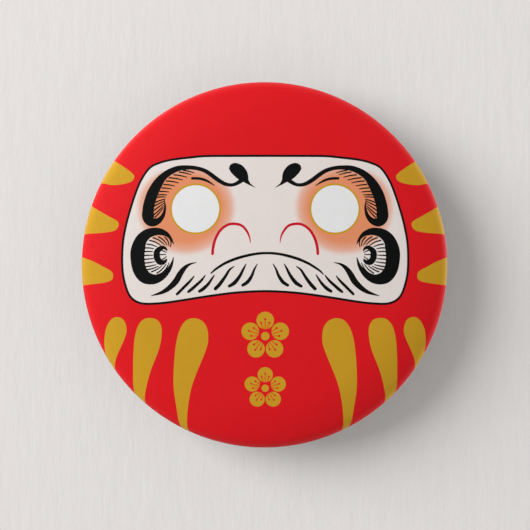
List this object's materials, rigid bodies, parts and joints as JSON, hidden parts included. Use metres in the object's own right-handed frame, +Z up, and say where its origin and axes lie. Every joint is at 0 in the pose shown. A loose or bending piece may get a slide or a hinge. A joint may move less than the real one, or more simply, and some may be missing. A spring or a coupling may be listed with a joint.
{
  "type": "pin-back button badge",
  "caption": "Round domed tinplate badge with a printed daruma face under clear film and a locking bar pin on its back.",
  "frame": {"origin": "centre of the flat land on the rear hem, in the plane that rests on the cloth", "axes": "+Y out of the back, away from the printed face; +Z up as worn; +X to the wearer's side where the catch is"},
  "size_m": [0.0572, 0.0099, 0.0572],
  "materials": {
    "clear_film": "clear gloss",
    "printed_paper": "smooth printed",
    "tinplate": "bright rolled",
    "nickel_plate": "nickel plated",
    "needle_steel": "drawn and polished"
  },
  "bodies": {
    "badge": {"film_cover": "clear_film", "printed_disc": "printed_paper", "front_shell": "tinplate", "back_plate": "tinplate", "pin_bar": "nickel_plate", "bar_rivets": "nickel_plate", "hinge_rivet": "nickel_plate"},
    "needle": {"pin_needle": "needle_steel"},
    "catch": {"catch_roller": "nickel_plate"}
  },
  "joints": [
    {"name": "pin_swing", "type": "hinge", "parent": "badge", "child": "needle", "pos_m": [-0.014, 0.0013, 0.006], "axis": [0, 0, 1], "range_deg": [0, 95]},
    {"name": "catch_turn", "type": "hinge", "parent": "badge", "child": "catch", "pos_m": [0.0139, 0.0013, 0.006], "axis": [-1, 0, 0], "range_deg": [0, 110]}
  ]
}
